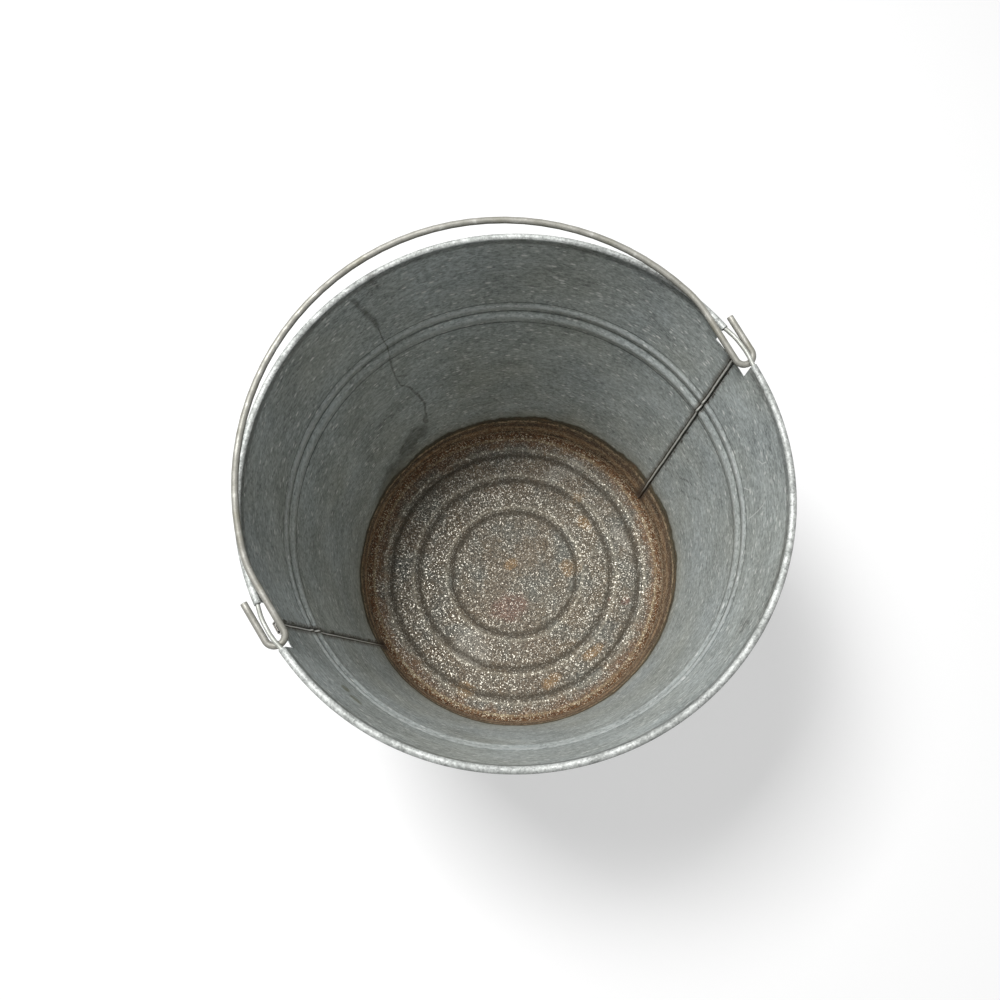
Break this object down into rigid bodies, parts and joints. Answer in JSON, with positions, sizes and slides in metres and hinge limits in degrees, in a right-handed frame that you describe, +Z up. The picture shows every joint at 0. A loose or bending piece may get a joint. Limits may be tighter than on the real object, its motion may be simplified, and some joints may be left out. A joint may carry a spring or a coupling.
{
  "type": "bucket",
  "caption": "Rusty galvanised steel bucket with a rolled rim, pressed base, lock seams and a wire bail that swings.",
  "frame": {"origin": "on the ground under the foot, on the bucket's axis", "axes": "+Z up, +X through the right-hand ear and the hinge line of the bail, +Y towards the side that the bail leans to"},
  "size_m": [0.3102, 0.3, 0.2828],
  "materials": {
    "wall_zinc": "weathered dull zinc with streaks, dirt and rust near the foot",
    "base_rust": "grainy zinc under rust and dried dirt",
    "rim_wire": "worn zinc wire",
    "bail_wire": "warm grey worn zinc wire with olive stains"
  },
  "bodies": {
    "bucket": {"wall_panel_front": "wall_zinc", "wall_panel_back": "wall_zinc", "rim_wire": "rim_wire", "base_pan": "base_rust"},
    "bail": {"bail": "bail_wire"}
  },
  "joints": [
    {"name": "bail_swing", "type": "hinge", "parent": "bucket", "child": "bail", "pos_m": [0, -0.01, 0.2524], "axis": [1, 0, 0], "range_deg": [0, 141]}
  ]
}
